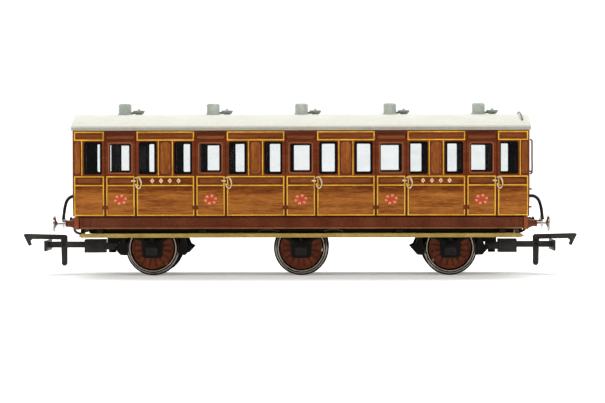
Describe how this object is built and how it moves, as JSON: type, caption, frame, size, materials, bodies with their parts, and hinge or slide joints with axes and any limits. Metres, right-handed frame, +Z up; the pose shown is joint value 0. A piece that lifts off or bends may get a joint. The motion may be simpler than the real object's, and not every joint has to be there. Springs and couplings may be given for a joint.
{
  "type": "model passenger coach",
  "caption": "Small-scale six-wheel railway passenger coach with panelled wooden-look body, clear windows, turning wheels, sprung buffers and swinging hook couplings.",
  "frame": {"origin": "middle of the coach at the level of the rail top, where the wheel flanges' lowest facets lie", "axes": "+X along the coach towards the end with the roof handrail, +Y across the track, +Z up"},
  "size_m": [0.1607, 0.0334, 0.0494],
  "materials": {
    "teak_body": "moulded plastic with printed teak grain, satin",
    "roof_paint": "off-white paint, matt",
    "lamp_paint": "grey-green paint, satin",
    "glazing": "clear polished plastic",
    "seat_plastic": "dark moulded plastic",
    "ballast_steel": "bare steel plate",
    "chassis_plastic": "self-coloured black plastic",
    "solebar_plastic": "brown painted plastic, satin",
    "footboard_plastic": "tan painted plastic",
    "coupling_plastic": "dark grey nylon",
    "hose_plastic": "black soft plastic",
    "handrail_wire": "brown painted wire",
    "buffer_steel": "turned bright steel",
    "spring_steel": "bare spring wire",
    "axle_steel": "turned steel",
    "tyre_metal": "turned metal tread",
    "wheel_plastic": "brown moulded plastic"
  },
  "bodies": {
    "coach": {"body_shell": "teak_body", "roof": "roof_paint", "roof_lamp_1": "lamp_paint", "roof_lamp_2": "lamp_paint", "roof_lamp_3": "lamp_paint", "roof_lamp_4": "lamp_paint", "roof_lamp_5": "lamp_paint", "glazing_near": "glazing", "glazing_far": "glazing", "compartment_interior": "seat_plastic", "ballast_plate": "ballast_steel", "underframe": "chassis_plastic", "solebar_near": "solebar_plastic", "solebar_far": "solebar_plastic", "buffer_beam_left": "solebar_plastic", "buffer_beam_right": "solebar_plastic", "footboard_near": "footboard_plastic", "footboard_far": "footboard_plastic", "axleguard_left_near": "chassis_plastic", "axleguard_left_far": "chassis_plastic", "axleguard_centre_near": "chassis_plastic", "axleguard_centre_far": "chassis_plastic", "axleguard_right_near": "chassis_plastic", "axleguard_right_far": "chassis_plastic", "brake_hose_left": "hose_plastic", "brake_hose_right": "hose_plastic", "heating_pipe_left": "hose_plastic", "heating_pipe_right": "hose_plastic", "roof_handrail": "handrail_wire", "end_handrail_near": "handrail_wire", "end_handrail_far": "handrail_wire", "buffer_spring_left_near": "spring_steel", "buffer_spring_left_far": "spring_steel", "buffer_spring_right_near": "spring_steel", "buffer_spring_right_far": "spring_steel"},
    "wheelset_left": {"axle_left": "axle_steel", "tyre_left_near": "tyre_metal", "tyre_left_far": "tyre_metal", "wheel_centre_left_near": "wheel_plastic", "wheel_centre_left_far": "wheel_plastic"},
    "wheelset_right": {"axle_right": "axle_steel", "tyre_right_near": "tyre_metal", "tyre_right_far": "tyre_metal", "wheel_centre_right_near": "wheel_plastic", "wheel_centre_right_far": "wheel_plastic"},
    "centre_axle": {"axle_centre": "axle_steel"},
    "centre_wheels": {"tyre_centre_near": "tyre_metal", "tyre_centre_far": "tyre_metal", "wheel_centre_centre_near": "wheel_plastic", "wheel_centre_centre_far": "wheel_plastic"},
    "buffer_left_near": {"buffer_head_left_near": "buffer_steel"},
    "buffer_left_far": {"buffer_head_left_far": "buffer_steel"},
    "coupling_left": {"coupling_pocket_left": "coupling_plastic", "coupling_bar_left": "coupling_plastic"},
    "hook_left": {"coupling_hook_left": "coupling_plastic"},
    "buffer_right_near": {"buffer_head_right_near": "buffer_steel"},
    "buffer_right_far": {"buffer_head_right_far": "buffer_steel"},
    "coupling_right": {"coupling_pocket_right": "coupling_plastic", "coupling_bar_right": "coupling_plastic"},
    "hook_right": {"coupling_hook_right": "coupling_plastic"}
  },
  "joints": [
    {"name": "wheel_spin_left", "type": "hinge", "parent": "coach", "child": "wheelset_left", "pos_m": [-0.0425, 0, 0.0079], "axis": [0, 1, 0], "continuous": true},
    {"name": "wheel_spin_right", "type": "hinge", "parent": "coach", "child": "wheelset_right", "pos_m": [0.0425, 0, 0.0079], "axis": [0, 1, 0], "continuous": true},
    {"name": "centre_axle_slide", "type": "slide", "parent": "coach", "child": "centre_axle", "axis": [0, 1, 0], "range_m": [-0.001, 0.001]},
    {"name": "wheel_spin_centre", "type": "hinge", "parent": "centre_axle", "child": "centre_wheels", "pos_m": [0, 0, 0.0079], "axis": [0, 1, 0], "continuous": true},
    {"name": "buffer_slide_left_near", "type": "slide", "parent": "coach", "child": "buffer_left_near", "axis": [1, 0, 0], "range_m": [0, 0.001], "stiffness_N_per_m": 150, "springref_m": -0.0004, "deforming": ["buffer_spring_left_near"]},
    {"name": "buffer_slide_left_far", "type": "slide", "parent": "coach", "child": "buffer_left_far", "axis": [1, 0, 0], "range_m": [0, 0.001], "stiffness_N_per_m": 150, "springref_m": -0.0004, "deforming": ["buffer_spring_left_far"]},
    {"name": "coupling_swing_left", "type": "hinge", "parent": "coach", "child": "coupling_left", "pos_m": [-0.055, 0, 0.0082], "axis": [0, 0, 1], "range_deg": [-10, 10]},
    {"name": "hook_lift_left", "type": "hinge", "parent": "coupling_left", "child": "hook_left", "pos_m": [-0.0689, 0, 0.00865], "axis": [0, 1, 0], "range_deg": [0, 18]},
    {"name": "buffer_slide_right_near", "type": "slide", "parent": "coach", "child": "buffer_right_near", "axis": [-1, 0, 0], "range_m": [0, 0.001], "stiffness_N_per_m": 150, "springref_m": -0.0004, "deforming": ["buffer_spring_right_near"]},
    {"name": "buffer_slide_right_far", "type": "slide", "parent": "coach", "child": "buffer_right_far", "axis": [-1, 0, 0], "range_m": [0, 0.001], "stiffness_N_per_m": 150, "springref_m": -0.0004, "deforming": ["buffer_spring_right_far"]},
    {"name": "coupling_swing_right", "type": "hinge", "parent": "coach", "child": "coupling_right", "pos_m": [0.055, 0, 0.0082], "axis": [0, 0, 1], "range_deg": [-10, 10]},
    {"name": "hook_lift_right", "type": "hinge", "parent": "coupling_right", "child": "hook_right", "pos_m": [0.06775, 0, 0.00865], "axis": [0, -1, 0], "range_deg": [0, 18]}
  ]
}
